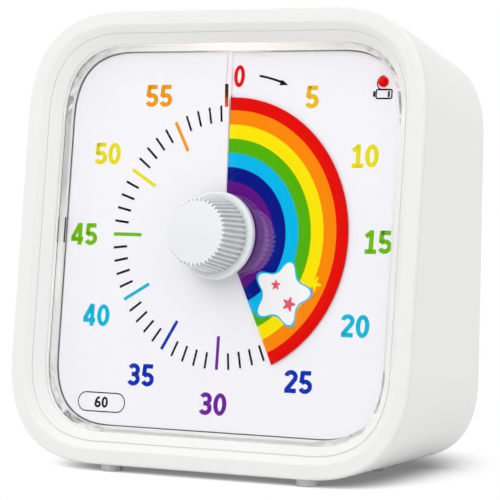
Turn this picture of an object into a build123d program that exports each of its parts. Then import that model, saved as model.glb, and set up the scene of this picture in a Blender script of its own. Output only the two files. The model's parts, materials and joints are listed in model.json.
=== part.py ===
from build123d import *
import os
from math import acos, atan2, cos, degrees, hypot, pi, radians, sin, sqrt, tan

# Visual countdown timer. Millimetres and degrees.
#
# Three frames are used:
#   face frame   origin where the dial's middle plane meets the knob's axis, +X right,
#                +Y up along the dial, +Z out towards the user
#   rear frame   on the rear wall's outside, +X right (seen from the front), +Y up,
#                +Z inwards, so its Z is the depth below the rear surface
#   row frame    the timer standing on a table: +X right, +Y to the rear, +Z up

# ---------------------------------------------------------------- casing sizes
face_width = 85.0             # square outline at the seam, its widest place
face_corner = 19.9            # how far each corner's curve reaches along a side
corner_fullness = 0.674       # a quarter circle has 0.552, a fuller corner more
face_lean = 7.33              # the face leans back from the vertical
rear_lean = 2.0               # the rear wall leans back from the vertical
centre_drop = 0.76            # the outline's centre is this far below the knob's axis
seam_height = 4.2             # seam between bezel and rear housing, in front of the dial
seam_line_width = 0.1         # the fine line left open at the seam
seam_line_depth = 0.1
side_taper = 5.5              # the rear wall is this much narrower on each side
top_taper = 4.24
rear_corner = 15.4
rear_edge_round = 3.0
wall = 2.0                    # rear housing
casing_fit = 0.15             # bezel tongue inside the rear housing

# ---------------------------------------------------------------- bezel sizes
rim_height = 1.2              # rounded rim in front of the seam
rim_width = 2.75
rim_outer_round = 0.4
rim_inner_round = 0.7
slope_inset = 4.06            # the slope behind the rim ends here, at the shadow line
slope_height = 4.3
shadow_line_width = 0.25
shadow_line_depth = 0.2
cover_inset = 6.0             # the clear cover's pocket
cover_pocket_height = 2.7
cover_seat_height = 1.3
window_inset = 7.2            # the opening that the dial shows through
window_wall = 1.7
tongue_back = 1.4
bezel_back = -1.25            # the window wall ends here, on the dial carrier
bezel_boss_radius = 1.7
bezel_boss_inset = 9.1        # bosses on the diagonals, from the outline's sides
bezel_boss_top = 2.2

# ---------------------------------------------------------------- cover, dial and disc
cover_thickness = 1.2
cover_fit = 0.1
cover_edge_round = 0.35
cover_hole_radius = 6.6
spiral_pitch = 0.6            # the card's left lip at 12 o'clock stands this far in front
slit_angle = -1.6             # the card's slit stands this far clockwise of 12 o'clock
card_thickness = 0.2
card_edge_gap = 0.2
card_hole_radius = 5.7
disc_thickness = 0.12
disc_lead = 0.03              # the disc's sheet lies this far in front of the card's
disc_radius = 25.9
disc_setting_angle = 153.0    # the disc covers this much of the dial, 25.5 minutes
carrier_thickness = 1.2
carrier_fit = 0.3
carrier_hub_hole_radius = 6.2
card_pad_radius = 1.6
card_pad_inset = 15.0         # from the outline's sides
card_pad_gap = 0.12

# ---------------------------------------------------------------- knob and shaft
shaft_radius = 1.5
shaft_fit = 0.04
shaft_front = 9.2
shaft_rear = -12.2
hub_radius = 5.0
hub_back = -2.1
hub_front = 2.6
hub_disc_fit = 0.05
skirt_radius = 8.1
skirt_back = 2.95
skirt_thickness = 1.1
skirt_edge_round = 0.4
ridge_base_radius = 7.05      # over the ridges, at the skirt
ridge_tip_radius = 6.2        # over the ridges, at the front
ridge_count = 42
ridge_depth = 0.55
ridge_share = 0.72            # of the pitch, the rest is the flat between two ridges
knob_front = 11.0
knob_dome = 0.35
knob_front_round = 0.7

# ---------------------------------------------------------------- movement
case_wall = 1.0
case_left = -25.0
case_right = 11.4
case_low = -15.8
case_high = 11.4
case_corner = 3.0
case_depth = 10.2
case_front_depth = 5.2        # the front half's share of the depth
case_ear_radius = 2.2
case_ear_thickness = 1.5
case_ear_left_y = 4.0
case_ear_right_ys = (-8.0, 7.0)
case_shaft_floor = 0.3        # left behind the shaft's rear end
gear_module = 0.3
output_teeth = 60
wheel_teeth = 48
arbor_pinion_teeth = 12
motor_pinion_teeth = 10
mesh_clearance = 0.1          # added to each centre distance
tooth_backlash = 0.09         # taken off each tooth's thickness
output_wheel_back = -9.2
wheel_back = -11.0
output_wheel_width = 0.9
output_hole_radius = 1.7
output_hole_reach = 5.6
wheel_width = 0.8
arbor_radius = 0.5
arbor_fit = 0.05
arbor_seat = 0.6              # how far each end sits in the case
arbor_pinion_length = 2.4
motor_angle = 235.0           # from the intermediate arbor to the motor's shaft
motor_radius = 6.9
motor_length = 4.2
motor_edge_round = 0.4
motor_nose_radius = 1.6
motor_nose_length = 0.8
motor_shaft_seat = 2.0        # how deep the shaft runs into the motor
collar_radius = 3.2
collar_back = -7.5
collar_thickness = 0.6
clutch_thickness = 0.25
clutch_rim = 0.6              # the dished washer reaches this far beyond the collar
clutch_fit = 0.15
clutch_gap = 0.02

# ---------------------------------------------------------------- battery bay and rear
cell_radius = 7.1             # AA cells
cell_length = 49.2
cell_nipple_radius = 2.7
cell_nipple_length = 1.2
cell_edge_round = 0.8
cell_gap = 0.5
bay_centre = -4.0             # in the rear frame
bay_wall = 1.3
bay_side_room = 0.35
bay_room = 1.1                # between the bay's box and the movement in front of it
cell_room = 0.25              # in front of and behind the cells
spring_room = 3.6
plate_thickness = 0.4
plate_margin = 1.4            # the contact plates are this much smaller than the cells
spring_wire = 0.35            # radius
spring_radius = 4.4
spring_turns = 3
spring_cone_angle = -35.0
spring_seat_gap = 0.02
door_thickness = 1.8
door_fit = 0.25
door_side_overlap = 3.1       # beyond the bay's opening, on each side
door_end_overlap = 1.4        # beyond the opening, above and below
door_corner = 2.5
door_hinge_round = 0.4        # the low outer edge is rounded, and the door rolls on it
door_tab_width = 7.0
door_tab_spacing = 36.0
door_tab_length = 1.6
door_tab_thickness = 0.8
door_tab_gap = 0.25
door_tab_root = 0.4           # beyond the bay's low wall, where the tab joins the plate
door_latch_width = 12.0
door_latch_length = 9.0
door_slit = 0.8
door_grip_ribs = 4
door_grip_top = 2.2           # first rib below the door's top edge
door_grip_pitch = 1.5
door_grip_depth = 0.35
door_grip_margin = 1.2        # left plain at each end of a rib
door_nib_radius = 0.15
door_seat_gap = 0.2

board_centre = 22.5
board_width = 44.0
board_height = 15.0
board_thickness = 1.2
board_post_radius = 1.4
board_post_inset = 2.0
board_depth = 8.2             # the board's rear face below the rear surface
switch_offset = 15.0          # each side of the middle
switch_length = 9.0
switch_height = 4.4
slider_width = 2.4
slider_height = 2.2
slider_pitch = 2.0            # travel from one position to the next
slider_proud = 0.7
slider_fit = 0.2
slider_window_corner = 0.4
slider_engagement = 1.9       # how deep it reaches into the switch body
slider_groove_radius = 0.2
slider_groove_pitch = 0.7
switch_depth = 2.35           # the switch body's mouth below the rear surface
buzzer_radius = 6.0
buzzer_height = 5.4
buzzer_edge_round = 0.6
buzzer_hole_radius = 1.1
chip_half_width = 3.5
chip_height = 1.6
chip_edge = 0.3
sound_slots = 5
sound_slot_width = 1.1
sound_slot_pitch = 2.2
sound_slot_length = 9.0

# ---------------------------------------------------------------- fasteners and feet
boss_radius = 3.0
boss_side_inset = 11.0        # from the rear wall's outline
boss_high_inset = 8.0
boss_low_inset = 7.6
boss_meet = -13.5             # where a rear tube meets its carrier boss
tube_floor = -17.5            # the screw heads sit here, deep in their tubes
tube_gap = 0.1
screw_radius = 1.1
screw_clearance = 0.25
screw_pilot_fit = 0.04
screw_head_radius = 2.1
screw_head_height = 1.4
head_clearance = 0.3
screw_engagement = 7.0
small_screw_radius = 0.8
small_head_radius = 1.45
small_head_height = 0.9
small_screw_length = 3.2
small_pilot_room = 0.2        # left beyond the screw's tip
foot_radius = 2.0
foot_height = 1.5
foot_edge_round = 0.3
foot_x = 21.0
front_foot_y = -6.4           # from the dial's centre, along the table
rear_foot_y = 20.0

# ---------------------------------------------------------------- lights
led_side_inset = 11.5         # from the outline's right side
led_top_inset = 13.04
led_radius = 1.0
led_front = 1.0
led_hole_fit = 0.15
led_body = 1.7
light_width = 13.0
light_height = 1.5
light_fit = 0.05
light_chip_depth = 0.6
light_chip_half_length = 1.4
light_chip_half_width = 0.7
light_chip_pitch = 4.0
light_strip_thickness = 0.5
light_strip_half_width = 0.95

# ---------------------------------------------------------------- worked-out places
face_low = -centre_drop - face_width / 2
face_high = -centre_drop + face_width / 2
rim_front = seam_height + rim_height
carrier_back = bezel_back - carrier_thickness
case_front = carrier_back
case_split = case_front - case_front_depth
case_back = case_front - case_depth
arbor_x = -(gear_module * (output_teeth + arbor_pinion_teeth) / 2 + mesh_clearance)
motor_reach = gear_module * (wheel_teeth + motor_pinion_teeth) / 2 + mesh_clearance
motor_x = arbor_x + motor_reach * cos(radians(motor_angle))
motor_y = motor_reach * sin(radians(motor_angle))
motor_front = case_front - case_wall - 0.1

cell_pitch = 2 * cell_radius + cell_gap
bay_half_height = cell_pitch / 2 + cell_radius + bay_side_room
bay_half_width = (cell_length + cell_nipple_length + spring_room) / 2 + plate_thickness
bay_floor = wall + 2 * cell_room + 2 * cell_radius
bay_box_depth = bay_floor + bay_wall
bay_box_high = bay_centre + bay_half_height + bay_wall
cell_depth = wall + cell_room + cell_radius
ledge_depth = door_thickness + door_seat_gap + bay_wall
door_half_width = bay_half_width + door_side_overlap
door_half_height = bay_half_height + door_end_overlap
tab_depth = wall + door_tab_gap
# The tabs turn about the round on the door's low outer edge, and their slots clear that sweep.
tab_reach_y = door_tab_length + door_hinge_round
tab_reach_z = tab_depth + door_tab_thickness - door_hinge_round
tab_sweep = door_hinge_round + hypot(tab_reach_y, tab_reach_z) + door_fit

# The movement and the battery bay's box behind it fix the body's depth at the knob's height.
rear_tilt = face_lean - rear_lean
tilt_cos, tilt_sin = cos(radians(rear_tilt)), sin(radians(rear_tilt))
body_depth = bay_room - case_back + bay_box_high * tilt_sin + bay_box_depth * tilt_cos
rear_plane = Plane(origin=(0, 0, -body_depth), x_dir=(1, 0, 0), z_dir=(0, -tilt_sin, tilt_cos))
well_behind = -2 * body_depth
# The underside is level on the table, which fixes the rear wall's low edge.
lean_slope = tan(radians(face_lean))
rear_low = (face_low + (seam_height + body_depth) * lean_slope) / (tilt_cos + tilt_sin * lean_slope)
rear_high = face_high - top_taper
rear_half_width = face_width / 2 - side_taper
underside = face_low * cos(radians(face_lean)) + seam_height * sin(radians(face_lean))

boss_x = rear_half_width - boss_side_inset
boss_ys = (rear_high - boss_high_inset, rear_low + boss_low_inset)
boss_points = [(sx * boss_x, y) for sx in (-1, 1) for y in boss_ys]
bezel_boss_reach = face_width / 2 - bezel_boss_inset
bezel_boss_points = [
    (sx * bezel_boss_reach, -centre_drop + sy * bezel_boss_reach)
    for sx in (-1, 1)
    for sy in (-1, 1)
]
ear_reach = case_ear_radius
case_ear_points = [(case_left - ear_reach, case_ear_left_y)]
case_ear_points += [(case_right + ear_reach, y) for y in case_ear_right_ys]
led_x = face_width / 2 - led_side_inset
led_y = face_high - led_top_inset
window_high = face_high - window_inset


# ---------------------------------------------------------------- outlines
def soft_square(half_x, low, high, corner):
    """A rectangle on XY whose corners are single smooth curves, fuller than arcs."""
    turns = [
        ((half_x, high), (0, 1), (-1, 0)),
        ((-half_x, high), (-1, 0), (0, -1)),
        ((-half_x, low), (0, -1), (1, 0)),
        ((half_x, low), (1, 0), (0, 1)),
    ]
    ends, edges = [], []
    for (x, y), (ix, iy), (ox, oy) in turns:
        start = Vector(x - ix * corner, y - iy * corner)
        end = Vector(x + ox * corner, y + oy * corner)
        pull = corner * corner_fullness
        edges.append(Bezier(start, start + Vector(ix, iy) * pull, end - Vector(ox, oy) * pull, end))
        ends.append((start, end))
    for i, (_, end) in enumerate(ends):
        edges.append(Line(end, ends[(i + 1) % 4][0]))
    return make_face(Wire(edges))


def face_outline(inset):
    half = face_width / 2 - inset
    return soft_square(half, -centre_drop - half, -centre_drop + half, face_corner - inset)


def rear_outline(inset):
    corner = rear_corner - inset
    return soft_square(rear_half_width - inset, rear_low + inset, rear_high - inset, corner)


def body_form(inset, rear_inset=0.0):
    """The tapered block from the seam to the rear wall, with its sides set in."""
    front = Plane.XY.offset(seam_height) * face_outline(inset)
    rear = rear_plane.offset(rear_inset) * rear_outline(inset)
    return loft([front, rear], ruled=True)


def slab(z_low, z_high):
    """A thick plate across the whole face, for cutting bands out of other forms."""
    return Pos(0, 0, (z_low + z_high) / 2) * Box(2 * face_width, 2 * face_width, z_high - z_low)


def circles_at(solid, low=False):
    """The round edges at the top of a solid, or at its bottom."""
    return solid.edges().filter_by(GeomType.CIRCLE).group_by(Axis.Z)[0 if low else -1]


def face_block(inset, z_low, z_high):
    return extrude(Plane.XY.offset(z_low) * face_outline(inset), z_high - z_low)


def funnel(inset_front, z_front, inset_back, z_back):
    front = Plane.XY.offset(z_front) * face_outline(inset_front)
    back = Plane.XY.offset(z_back) * face_outline(inset_back)
    return loft([front, back], ruled=True)


def rod(radius, z_low, z_high, x=0.0, y=0.0):
    return Pos(x, y, (z_low + z_high) / 2) * Cylinder(radius, z_high - z_low)


def block(x_low, x_high, y_low, y_high, z_low, z_high):
    centre = Pos((x_low + x_high) / 2, (y_low + y_high) / 2, (z_low + z_high) / 2)
    return centre * Box(x_high - x_low, y_high - y_low, z_high - z_low)


# ---------------------------------------------------------------- casing
def lies_on_rear(edge):
    return all(abs(rear_plane.to_local_coords(p).Z) < 0.01 for p in (edge @ 0, edge @ 1))


def make_rear_housing():
    outer = body_form(0)
    outer = fillet([e for e in outer.edges() if lies_on_rear(e)], rear_edge_round)
    shell = outer - body_form(wall, wall)

    edge_room = door_fit + bay_wall
    ledge_half_x, ledge_half_y = door_half_width + edge_room, door_half_height + edge_room
    shell = shell + bay_block(ledge_half_x, ledge_half_y, wall / 2, ledge_depth)
    box_half_x, box_half_y = bay_half_width + bay_wall, bay_half_height + bay_wall
    shell = shell + bay_block(box_half_x, box_half_y, wall, bay_box_depth)
    for x, y in boss_points:
        tube = rod(boss_radius, well_behind, boss_meet - tube_gap, x, y)
        shell = shell + (tube & body_form(wall / 2, wall / 2))
    shell = shell - bay_block(bay_half_width, bay_half_height, 0, bay_floor)
    for x, y in boss_points:
        shell = shell - rod(screw_radius + screw_clearance, tube_floor - 1, boss_meet, x, y)
        shell = shell - rod(screw_head_radius + head_clearance, well_behind, tube_floor, x, y)
    shell = shell - door_recess()
    for side in (-1, 1):
        shell = shell - slider_window(side * switch_offset)
    for i in range(sound_slots):
        x = (i - (sound_slots - 1) / 2) * sound_slot_pitch
        slot = SlotOverall(sound_slot_length, sound_slot_width, rotation=90)
        shell = shell - rear_plane * Pos(x, board_centre, -1) * extrude(slot, wall + 2)
    for post in board_posts():
        shell = shell + post
    return shell


def bay_block(half_x, half_y, depth_low, depth_high):
    """A block about the battery bay's centre, between two depths below the rear surface."""
    low, high = bay_centre - half_y, bay_centre + half_y
    return rear_plane * block(-half_x, half_x, low, high, depth_low, depth_high)


def door_recess():
    """The door's seat in the rear wall, with the two slots that its tabs hook into."""
    half_x, half_y = door_half_width + door_fit, door_half_height + door_fit
    hole = RectangleRounded(2 * half_x, 2 * half_y, door_corner + door_fit)
    recess = rear_plane * Pos(0, bay_centre, -1) * extrude(hole, 1 + door_thickness + door_seat_gap)
    slot_low = bay_centre - door_half_height - door_tab_length - 2 * door_fit
    slot_high = bay_centre - bay_half_height + 1
    for side in (-1, 1):
        x = side * door_tab_spacing / 2
        half = door_tab_width / 2 + door_fit
        slot = block(x - half, x + half, slot_low, slot_high, wall, tab_sweep)
        recess = recess + rear_plane * slot
    return recess


def slider_window(x):
    travel = slider_width + 2 * slider_pitch + 2 * slider_fit
    window = RectangleRounded(travel, slider_height + 2 * slider_fit, slider_window_corner)
    return rear_plane * Pos(x, board_centre, -1) * extrude(window, wall + 2)


def rim_edges(solid, inset):
    """The edges of the rim's front face that lie on the outline set in by inset, or inside it."""
    half = face_width / 2 - inset + 0.01
    picked = []
    for edge in solid.edges():
        ends = [edge @ 0, edge @ 1]
        at_front = all(abs(p.Z - rim_front) < 0.01 for p in ends)
        if at_front and all(max(abs(p.X), abs(p.Y + centre_drop)) < half for p in ends):
            picked.append(edge)
    return picked


def make_front_bezel():
    seam_line_top = seam_height + seam_line_width
    rim = face_block(0, seam_line_top, rim_front)
    rim = fillet(rim_edges(rim, 0), rim_outer_round)
    rim = rim + face_block(seam_line_depth, seam_height, seam_line_top)
    tongue = body_form(wall + casing_fit) & slab(tongue_back, seam_height)
    window = face_block(window_inset - window_wall, bezel_back, seam_height)
    bezel = rim + tongue + window
    for x, y in bezel_boss_points:
        bezel = bezel + rod(bezel_boss_radius, bezel_back, bezel_boss_top, x, y)

    bezel = bezel - funnel(rim_width, rim_front, slope_inset, slope_height)
    inner = slope_inset + shadow_line_width
    line_floor = slope_height - shadow_line_depth
    line = face_block(slope_inset, line_floor, slope_height)
    line = line - face_block(inner, line_floor, slope_height)
    bezel = bezel - line - funnel(inner, slope_height, cover_inset, cover_pocket_height)
    bezel = bezel - face_block(cover_inset, cover_seat_height, cover_pocket_height)
    bezel = bezel - face_block(window_inset, bezel_back - 1, cover_seat_height)
    bezel = fillet(rim_edges(bezel, rim_width), rim_inner_round)
    pilot = small_screw_radius + screw_pilot_fit
    pilot_end = carrier_back + small_screw_length + small_pilot_room
    for x, y in bezel_boss_points:
        bezel = bezel - rod(pilot, bezel_back - 1, pilot_end, x, y)
    return bezel - light_slot(light_fit)


def light_slot(clearance):
    """The slot in the window's upper wall that the light shines down through."""
    half_x, half_z = light_width / 2 + clearance, light_height / 2 + clearance
    return block(-half_x, half_x, window_high - 1, window_high + window_wall + 1, -half_z, half_z)


def make_clear_cover():
    front = cover_seat_height + cover_thickness
    plate = face_block(cover_inset + cover_fit, cover_seat_height, front)
    plate = fillet(plate.edges().group_by(Axis.Z)[-1], cover_edge_round)
    plate = plate - rod(cover_hole_radius, cover_seat_height - 1, front + 1)
    return fillet(circles_at(plate), cover_edge_round)


# ---------------------------------------------------------------- dial and disc
def spiral_sheet(inner_radius, outer_radius, thickness, turn):
    """One turn of a slit surface that climbs clockwise by the spiral pitch, from turn."""
    inner = Edge.make_helix(spiral_pitch, spiral_pitch, inner_radius, lefthand=True).edges()[0]
    outer = Edge.make_helix(spiral_pitch, spiral_pitch, outer_radius, lefthand=True).edges()[0]
    sheet = Face.make_surface_from_curves(inner, outer)
    return Pos(0, 0, -(spiral_pitch + thickness) / 2) * Rot(0, 0, 90 - turn) * sheet


def thicken_along_axis(sheet, thickness):
    return Part(Solid.extrude(sheet, Vector(0, 0, thickness)).wrapped)


def make_dial_card():
    inset = window_inset + card_edge_gap
    far = face_width / sqrt(2) - window_inset
    sheet = spiral_sheet(card_hole_radius, far, card_thickness, slit_angle)
    card = thicken_along_axis(sheet & face_block(inset, -spiral_pitch, spiral_pitch), card_thickness)
    return card - rod(led_radius + led_hole_fit, -spiral_pitch, spiral_pitch, led_x, led_y)


def make_rainbow_disc():
    sheet = spiral_sheet(hub_radius + hub_disc_fit, disc_radius, disc_thickness, disc_setting_angle)
    return Pos(0, 0, disc_lead) * thicken_along_axis(sheet, disc_thickness)


def card_back_height(x, y):
    """Height of the card's back above the dial's middle plane."""
    clockwise = (degrees(atan2(x, y)) - slit_angle) % 360
    return spiral_pitch * (clockwise / 360 - 0.5) - card_thickness / 2


def make_dial_carrier():
    carrier = body_form(wall + carrier_fit) & slab(carrier_back, bezel_back)
    pad_reach = face_width / 2 - card_pad_inset
    for sx in (-1, 1):
        for sy in (-1, 1):
            x, y = sx * pad_reach, sy * pad_reach
            top = card_back_height(x, y) - card_pad_gap
            carrier = carrier + rod(card_pad_radius, bezel_back - 0.1, top, x, y)
    for x, y in boss_points:
        carrier = carrier + rod(boss_radius, boss_meet, carrier_back, x, y)
    pilot_end = boss_meet + screw_engagement + 0.8
    for x, y in boss_points:
        carrier = carrier - rod(screw_radius + screw_pilot_fit, boss_meet - 1, pilot_end, x, y)
    through = [(small_screw_radius + screw_clearance, x, y) for x, y in bezel_boss_points]
    through += [(small_screw_radius + screw_pilot_fit, x, y) for x, y in case_ear_points]
    through += [(carrier_hub_hole_radius, 0, 0), (led_radius + led_hole_fit, led_x, led_y)]
    for radius, x, y in through:
        carrier = carrier - rod(radius, carrier_back - 1, bezel_back + 1, x, y)
    return carrier


# ---------------------------------------------------------------- knob, shaft and hub
def ridge_ring(radius, z):
    """Closed outline of the knob's ridges: four flats over each crest, one flat between two."""
    step = 2 * pi / ridge_count
    half = ridge_share / 2 * step
    crest = [(-half, 0.0), (-0.55 * half, 0.7), (0.0, 1.0), (0.55 * half, 0.7), (half, 0.0)]
    points = []
    for i in range(ridge_count):
        for angle, rise in crest:
            reach = radius - ridge_depth * (1 - rise)
            points.append(Vector(reach * cos(i * step + angle), reach * sin(i * step + angle), z))
    return make_face(Polyline(*points, close=True))


def knob_envelope():
    """The domed and rounded body that the ridges are trimmed to."""
    shoulder = knob_front - knob_dome
    side_top = (ridge_tip_radius + 0.3, shoulder - knob_front_round)
    dome_middle = (ridge_tip_radius / 2, knob_front - knob_dome / 4)
    with BuildPart() as envelope:
        with BuildSketch(Plane.XZ):
            with BuildLine():
                side = Line((skirt_radius, skirt_back), side_top)
                corner = TangentArc(side @ 1, (ridge_tip_radius - 0.55, shoulder), tangent=(-0.1, 1))
                dome = ThreePointArc(corner @ 1, dome_middle, (0, knob_front))
                Line(dome @ 1, (0, skirt_back))
                Line((0, skirt_back), side @ 0)
            make_face()
        revolve(axis=Axis.Z)
    return envelope.part


def make_knob():
    skirt_front = skirt_back + skirt_thickness
    skirt = rod(skirt_radius, skirt_back, skirt_front)
    skirt = fillet(circles_at(skirt), skirt_edge_round)
    grip_low = ridge_ring(ridge_base_radius, skirt_front - 0.2)
    grip = loft([grip_low, ridge_ring(ridge_tip_radius, knob_front)], ruled=True)
    knob = (grip & knob_envelope()) + skirt
    return knob - rod(shaft_radius + shaft_fit, skirt_back - 1, shaft_front + 0.1)


def make_shaft():
    shaft = rod(shaft_radius, shaft_rear, shaft_front)
    collar = rod(collar_radius, collar_back, collar_back + collar_thickness)
    return shaft + collar


def make_disc_hub():
    hub = rod(hub_radius, hub_back, hub_front)
    return hub - rod(shaft_radius + shaft_fit, hub_back - 1, hub_front + 1)


# ---------------------------------------------------------------- movement
def gear_face(teeth, phase, addendum=1.0):
    """Involute gear outline with a tooth centred on phase."""
    pressure = radians(20)
    pitch_radius = gear_module * teeth / 2
    base_radius = pitch_radius * cos(pressure)
    tip_radius = pitch_radius + gear_module * addendum
    root_radius = pitch_radius - gear_module * 1.25
    half_pitch = pi / (2 * teeth) - tooth_backlash / (2 * pitch_radius)

    def flank(radius):
        angle = acos(min(1.0, base_radius / radius))
        return half_pitch + (tan(pressure) - pressure) - (tan(angle) - angle)

    low = max(base_radius, root_radius)
    levels = [low, (low + tip_radius) / 2, tip_radius]
    outline = []
    for i in range(teeth):
        centre = radians(phase) + 2 * pi * i / teeth
        left = [(root_radius, -flank(low))] + [(r, -flank(r)) for r in levels]
        right = [(r, flank(r)) for r in reversed(levels)] + [(root_radius, flank(low))]
        for radius, angle in left + right:
            point = (radius * cos(centre + angle), radius * sin(centre + angle))
            if not outline or (Vector(*point) - Vector(*outline[-1])).length > 0.01:
                outline.append(point)
    return make_face(Polyline(*outline, close=True))


def gear(teeth, phase, z_low, width, addendum=1.0):
    return extrude(Plane.XY.offset(z_low) * gear_face(teeth, phase, addendum), width)


def make_output_wheel():
    wheel = gear(output_teeth, 180, output_wheel_back, output_wheel_width, 0.8)
    wheel = wheel + rod(collar_radius, case_back + case_wall + 0.2, output_wheel_back + 0.2)
    for i in range(4):
        hole = rod(output_hole_radius, output_wheel_back - 1, output_wheel_back + 2, output_hole_reach)
        wheel = wheel - Rot(0, 0, 45 + 90 * i) * hole
    return wheel - rod(shaft_radius + shaft_fit, case_back, output_wheel_back + 2)


def make_clutch_spring():
    """Dished washer that presses the output wheel to the shaft's collar."""
    low = output_wheel_back + output_wheel_width + clutch_gap
    high = collar_back - clutch_gap
    inner, outer = shaft_radius + clutch_fit, collar_radius + clutch_rim
    rim = [(outer, low), (outer, low + clutch_thickness)]
    with BuildPart() as spring:
        with BuildSketch(Plane.XZ):
            Polygon(*rim, (inner, high), (inner, high - clutch_thickness), align=None)
        revolve(axis=Axis.Z)
    return spring.part


def make_intermediate_gear():
    wheel = gear(wheel_teeth, motor_angle, wheel_back, wheel_width, 0.8)
    pinion_phase = 180 / arbor_pinion_teeth
    pinion = gear(arbor_pinion_teeth, pinion_phase, wheel_back + 0.1, arbor_pinion_length + wheel_width)
    return Pos(arbor_x, 0, 0) * (wheel + pinion - rod(arbor_radius + arbor_fit, case_back, 0))


def make_intermediate_arbor():
    inside_back, inside_front = case_back + case_wall, case_front - case_wall
    return rod(arbor_radius, inside_back - arbor_seat, inside_front + arbor_seat, arbor_x, 0)


def make_gear_motor():
    motor_back = motor_front - motor_length
    motor = rod(motor_radius, motor_back, motor_front)
    motor = fillet(motor.edges().filter_by(GeomType.CIRCLE), motor_edge_round)
    motor = motor + rod(motor_nose_radius, motor_back - motor_nose_length, motor_back + 0.1)
    motor = motor - rod(arbor_radius + arbor_fit, case_back, motor_front - motor_shaft_seat)
    return Pos(motor_x, motor_y, 0) * motor


def make_motor_pinion():
    phase = motor_angle - 180 + 180 / motor_pinion_teeth
    pinion_back = wheel_back - 0.2
    pinion = gear(motor_pinion_teeth, phase, pinion_back, wheel_width + 0.6)
    shaft = rod(arbor_radius, pinion_back, motor_front - motor_shaft_seat - 0.2)
    return Pos(motor_x, motor_y, 0) * (pinion + shaft)


def case_outline(inset):
    wide, tall = case_right - case_left, case_high - case_low
    centre = Pos((case_left + case_right) / 2, (case_low + case_high) / 2)
    return centre * RectangleRounded(wide - 2 * inset, tall - 2 * inset, case_corner - inset)


def make_movement_case_front():
    case = extrude(Plane.XY.offset(case_split) * case_outline(0), case_front_depth)
    ear_back = case_front - case_ear_thickness
    for x, y in case_ear_points:
        inward = case_left + case_wall if x < 0 else case_right - case_wall
        case = case + rod(case_ear_radius, ear_back, case_front, x, y)
        low, high = y - case_ear_radius, y + case_ear_radius
        case = case + block(min(x, inward), max(x, inward), low, high, ear_back, case_front)
    inside, below = case_front - case_wall, case_split - 1
    case = case - extrude(Plane.XY.offset(below) * case_outline(case_wall), inside - below)
    for x, y in case_ear_points:
        case = case - rod(small_screw_radius + screw_clearance, ear_back - 1, case_front + 1, x, y)
    case = case - rod(shaft_radius + shaft_fit, case_split, case_front + 1)
    return case - rod(arbor_radius + arbor_fit, inside - 1, inside + arbor_seat + 0.1, arbor_x, 0)


def make_movement_case_rear():
    inside = case_back + case_wall
    depth = case_split - case_back
    case = extrude(Plane.XY.offset(case_back) * case_outline(0), depth)
    case = case - extrude(Plane.XY.offset(inside) * case_outline(case_wall), depth)
    case = case - rod(shaft_radius + shaft_fit, case_back + case_shaft_floor, inside + 1)
    return case - rod(arbor_radius + arbor_fit, inside - arbor_seat - 0.1, inside + 1, arbor_x, 0)


# ---------------------------------------------------------------- fasteners and feet
def screw(radius, length, head_radius, head_height):
    """Pan-head screw, its head's seat at z = 0 and its shank along +Z."""
    head = rod(head_radius, -head_height, 0)
    head = chamfer(circles_at(head, low=True), head_height * 0.4)
    long, short = head_radius * 1.1, head_radius * 0.3
    cross = Box(long, short, head_height) + Box(short, long, head_height)
    shank = rod(radius, -0.1, length)
    shank = chamfer(circles_at(shank), radius * 0.4)
    return head + shank - Pos(0, 0, -head_height) * cross


def make_housing_screws():
    length = boss_meet + screw_engagement - tube_floor
    one = screw(screw_radius, length, screw_head_radius, screw_head_height)
    return Compound([Pos(x, y, tube_floor) * one for x, y in boss_points])


def make_carrier_screws():
    one = screw(small_screw_radius, small_screw_length, small_head_radius, small_head_height)
    return Compound([Pos(x, y, carrier_back) * one for x, y in bezel_boss_points])


def make_movement_screws():
    length = case_ear_thickness + carrier_thickness - 0.2
    one = screw(small_screw_radius, length, small_head_radius, small_head_height)
    return Compound([Pos(x, y, case_front - case_ear_thickness) * one for x, y in case_ear_points])


def make_feet(y):
    """A pair of feet, placed in the row frame with the dial's centre over the origin."""
    pad = rod(foot_radius, 0, foot_height)
    pad = fillet(circles_at(pad, low=True), foot_edge_round)
    return Compound([Pos(sx * foot_x, y, 0) * pad for sx in (-1, 1)])


# ---------------------------------------------------------------- battery bay
def make_battery_door():
    """Flush door that tilts out about its rounded low edge: tabs below, a sprung latch on top."""
    plate = extrude(
        RectangleRounded(2 * door_half_width, 2 * door_half_height, door_corner), door_thickness
    )
    low_edge = [e for e in plate.edges().group_by(Axis.Z)[0] if (e @ 0.5).Y < 0.01 - door_half_height]
    plate = fillet(low_edge, door_hinge_round)
    root_low, root_high = -door_half_height + 0.6, -bay_half_height + door_tab_root
    for side in (-1, 1):
        x = side * door_tab_spacing / 2
        low, high = x - door_tab_width / 2, x + door_tab_width / 2
        tab_low = -door_half_height - door_tab_length
        plate = plate + block(low, high, tab_low, root_high, tab_depth, tab_depth + door_tab_thickness)
        plate = plate + block(low, high, root_low, root_high, door_thickness - 0.1, tab_depth + 0.1)
    slit_low = door_half_height - door_latch_length
    for side in (-1, 1):
        x = side * door_latch_width / 2
        low, high = x - door_slit / 2, x + door_slit / 2
        plate = plate - block(low, high, slit_low, door_half_height + 1, -1, door_thickness + 1)
    rib_length = door_latch_width - door_slit - 2 * door_grip_margin
    for i in range(door_grip_ribs):
        y = door_half_height - door_grip_top - door_grip_pitch * i
        groove = Rot(0, 90, 0) * Cylinder(2 * door_grip_depth, rib_length)
        plate = plate - Pos(0, y, -door_grip_depth) * groove
    nib = Rot(0, 90, 0) * Cylinder(door_nib_radius, rib_length)
    plate = plate + Pos(0, door_half_height, door_thickness / 2) * nib
    return rear_plane * Pos(0, bay_centre, 0) * plate


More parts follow.
